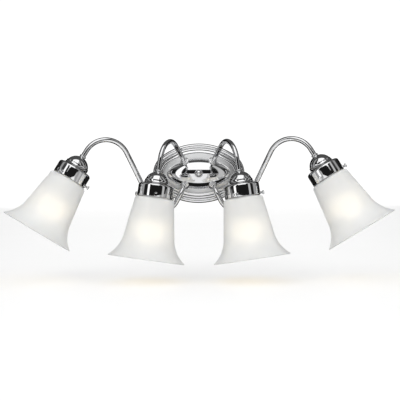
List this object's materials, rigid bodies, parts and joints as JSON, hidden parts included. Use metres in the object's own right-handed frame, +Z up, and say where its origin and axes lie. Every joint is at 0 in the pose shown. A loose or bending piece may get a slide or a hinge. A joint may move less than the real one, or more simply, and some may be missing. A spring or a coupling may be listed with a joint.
{
  "type": "vanity light bar",
  "caption": "Wall light bar with an oval chrome canopy, bent tube arms and downward bell glass shades in thumbscrew holders.",
  "frame": {"origin": "centre of the mounting strap and of the canopy's back plane, on the wall plane", "axes": "+X to the right along the bar, +Y into the wall, +Z up; the fixture stands out towards -Y"},
  "size_m": [0.773, 0.2222, 0.254],
  "materials": {
    "chrome": "polished",
    "etched_glass": "etched white, satin",
    "bulb_glass": "soft white frosted",
    "base_metal": "plain",
    "porcelain": "glazed",
    "brass": "plain",
    "zinc_steel": "zinc plated",
    "green_screw": "dyed",
    "copper": "bare copper",
    "connector_plastic": "moulded",
    "black_insulation": "smooth",
    "white_insulation": "smooth"
  },
  "bodies": {
    "root": {"canopy": "chrome", "mounting_strap": "zinc_steel", "centre_nipple": "brass", "strap_nut": "brass", "finial_washer": "chrome", "ground_screw": "green_screw", "ground_wire": "copper", "wire_connectors": "connector_plastic", "hot_wires": "black_insulation", "neutral_wires": "white_insulation", "arm_collars": "chrome", "arm_lock_nuts": "brass", "holder_collars": "chrome", "holder_nuts": "brass", "socket_contacts": "brass", "arm_left_outer": "chrome", "arm_left_inner": "chrome", "arm_right_inner": "chrome", "arm_right_outer": "chrome", "holder_left_outer": "chrome", "holder_left_inner": "chrome", "holder_right_inner": "chrome", "holder_right_outer": "chrome", "socket_left_outer": "porcelain", "socket_left_inner": "porcelain", "socket_right_inner": "porcelain", "socket_right_outer": "porcelain", "socket_shell_left_outer": "brass", "socket_shell_left_inner": "brass", "socket_shell_right_inner": "brass", "socket_shell_right_outer": "brass"},
    "finial": {"finial": "chrome"},
    "shade_left_outer": {"shade_left_outer": "etched_glass"},
    "bulb_left_outer": {"bulb_base_left_outer": "base_metal", "bulb_glass_left_outer": "bulb_glass"},
    "thumbscrew_left_outer_1": {"thumbscrew_left_outer_1": "chrome"},
    "thumbscrew_left_outer_2": {"thumbscrew_left_outer_2": "chrome"},
    "thumbscrew_left_outer_3": {"thumbscrew_left_outer_3": "chrome"},
    "shade_left_inner": {"shade_left_inner": "etched_glass"},
    "bulb_left_inner": {"bulb_base_left_inner": "base_metal", "bulb_glass_left_inner": "bulb_glass"},
    "thumbscrew_left_inner_1": {"thumbscrew_left_inner_1": "chrome"},
    "thumbscrew_left_inner_2": {"thumbscrew_left_inner_2": "chrome"},
    "thumbscrew_left_inner_3": {"thumbscrew_left_inner_3": "chrome"},
    "shade_right_inner": {"shade_right_inner": "etched_glass"},
    "bulb_right_inner": {"bulb_base_right_inner": "base_metal", "bulb_glass_right_inner": "bulb_glass"},
    "thumbscrew_right_inner_1": {"thumbscrew_right_inner_1": "chrome"},
    "thumbscrew_right_inner_2": {"thumbscrew_right_inner_2": "chrome"},
    "thumbscrew_right_inner_3": {"thumbscrew_right_inner_3": "chrome"},
    "shade_right_outer": {"shade_right_outer": "etched_glass"},
    "bulb_right_outer": {"bulb_base_right_outer": "base_metal", "bulb_glass_right_outer": "bulb_glass"},
    "thumbscrew_right_outer_1": {"thumbscrew_right_outer_1": "chrome"},
    "thumbscrew_right_outer_2": {"thumbscrew_right_outer_2": "chrome"},
    "thumbscrew_right_outer_3": {"thumbscrew_right_outer_3": "chrome"}
  },
  "joints": [
    {"name": "finial_slide", "type": "slide", "parent": "root", "child": "finial", "axis": [0, -1, 0], "range_m": [0, 0.012]},
    {"name": "shade_left_outer_slide", "type": "slide", "parent": "root", "child": "shade_left_outer", "axis": [-0.5096, -0.1554, -0.8462], "range_m": [0, 0.015]},
    {"name": "bulb_left_outer_slide", "type": "slide", "parent": "root", "child": "bulb_left_outer", "axis": [-0.5096, -0.1554, -0.8462], "range_m": [0, 0.15]},
    {"name": "thumbscrew_left_outer_1_slide", "type": "slide", "parent": "root", "child": "thumbscrew_left_outer_1", "axis": [-0.3893, -0.8355, 0.3878], "range_m": [0, 0.005]},
    {"name": "thumbscrew_left_outer_2_slide", "type": "slide", "parent": "root", "child": "thumbscrew_left_outer_2", "axis": [0.8591, -0.0387, -0.5103], "range_m": [0, 0.005]},
    {"name": "thumbscrew_left_outer_3_slide", "type": "slide", "parent": "root", "child": "thumbscrew_left_outer_3", "axis": [-0.4699, 0.8742, 0.1225], "range_m": [0, 0.005]},
    {"name": "shade_left_inner_slide", "type": "slide", "parent": "root", "child": "shade_left_inner", "axis": [-0.1422, -0.094, -0.9854], "range_m": [0, 0.015]},
    {"name": "bulb_left_inner_slide", "type": "slide", "parent": "root", "child": "bulb_left_inner", "axis": [-0.1422, -0.094, -0.9854], "range_m": [0, 0.15]},
    {"name": "thumbscrew_left_inner_1_slide", "type": "slide", "parent": "root", "child": "thumbscrew_left_inner_1", "axis": [0.0914, -0.9925, 0.0815], "range_m": [0, 0.005]},
    {"name": "thumbscrew_left_inner_2_slide", "type": "slide", "parent": "root", "child": "thumbscrew_left_inner_2", "axis": [0.8079, 0.5642, -0.1704], "range_m": [0, 0.005]},
    {"name": "thumbscrew_left_inner_3_slide", "type": "slide", "parent": "root", "child": "thumbscrew_left_inner_3", "axis": [-0.8993, 0.4282, 0.0889], "range_m": [0, 0.005]},
    {"name": "shade_right_inner_slide", "type": "slide", "parent": "root", "child": "shade_right_inner", "axis": [0.1422, -0.094, -0.9854], "range_m": [0, 0.015]},
    {"name": "bulb_right_inner_slide", "type": "slide", "parent": "root", "child": "bulb_right_inner", "axis": [0.1422, -0.094, -0.9854], "range_m": [0, 0.15]},
    {"name": "thumbscrew_right_inner_1_slide", "type": "slide", "parent": "root", "child": "thumbscrew_right_inner_1", "axis": [-0.3756, -0.9262, 0.0342], "range_m": [0, 0.005]},
    {"name": "thumbscrew_right_inner_2_slide", "type": "slide", "parent": "root", "child": "thumbscrew_right_inner_2", "axis": [-0.6053, 0.7794, -0.1617], "range_m": [0, 0.005]},
    {"name": "thumbscrew_right_inner_3_slide", "type": "slide", "parent": "root", "child": "thumbscrew_right_inner_3", "axis": [0.9809, 0.1468, 0.1275], "range_m": [0, 0.005]},
    {"name": "shade_right_outer_slide", "type": "slide", "parent": "root", "child": "shade_right_outer", "axis": [0.5096, -0.1554, -0.8462], "range_m": [0, 0.015]},
    {"name": "bulb_right_outer_slide", "type": "slide", "parent": "root", "child": "bulb_right_outer", "axis": [0.5096, -0.1554, -0.8462], "range_m": [0, 0.15]},
    {"name": "thumbscrew_right_outer_1_slide", "type": "slide", "parent": "root", "child": "thumbscrew_right_outer_1", "axis": [0.8591, 0.0387, 0.5103], "range_m": [0, 0.005]},
    {"name": "thumbscrew_right_outer_2_slide", "type": "slide", "parent": "root", "child": "thumbscrew_right_outer_2", "axis": [-0.4699, -0.8742, -0.1225], "range_m": [0, 0.005]},
    {"name": "thumbscrew_right_outer_3_slide", "type": "slide", "parent": "root", "child": "thumbscrew_right_outer_3", "axis": [-0.3893, 0.8355, -0.3878], "range_m": [0, 0.005]}
  ],
  "couplings": [
    {"joint": "thumbscrew_left_outer_1_slide", "follows": "shade_left_outer_slide", "ratio": 0.33},
    {"joint": "thumbscrew_left_outer_2_slide", "follows": "shade_left_outer_slide", "ratio": 0.33},
    {"joint": "thumbscrew_left_outer_3_slide", "follows": "shade_left_outer_slide", "ratio": 0.33},
    {"joint": "thumbscrew_left_inner_1_slide", "follows": "shade_left_inner_slide", "ratio": 0.33},
    {"joint": "thumbscrew_left_inner_2_slide", "follows": "shade_left_inner_slide", "ratio": 0.33},
    {"joint": "thumbscrew_left_inner_3_slide", "follows": "shade_left_inner_slide", "ratio": 0.33},
    {"joint": "thumbscrew_right_inner_1_slide", "follows": "shade_right_inner_slide", "ratio": 0.33},
    {"joint": "thumbscrew_right_inner_2_slide", "follows": "shade_right_inner_slide", "ratio": 0.33},
    {"joint": "thumbscrew_right_inner_3_slide", "follows": "shade_right_inner_slide", "ratio": 0.33},
    {"joint": "thumbscrew_right_outer_1_slide", "follows": "shade_right_outer_slide", "ratio": 0.33},
    {"joint": "thumbscrew_right_outer_2_slide", "follows": "shade_right_outer_slide", "ratio": 0.33},
    {"joint": "thumbscrew_right_outer_3_slide", "follows": "shade_right_outer_slide", "ratio": 0.33}
  ]
}
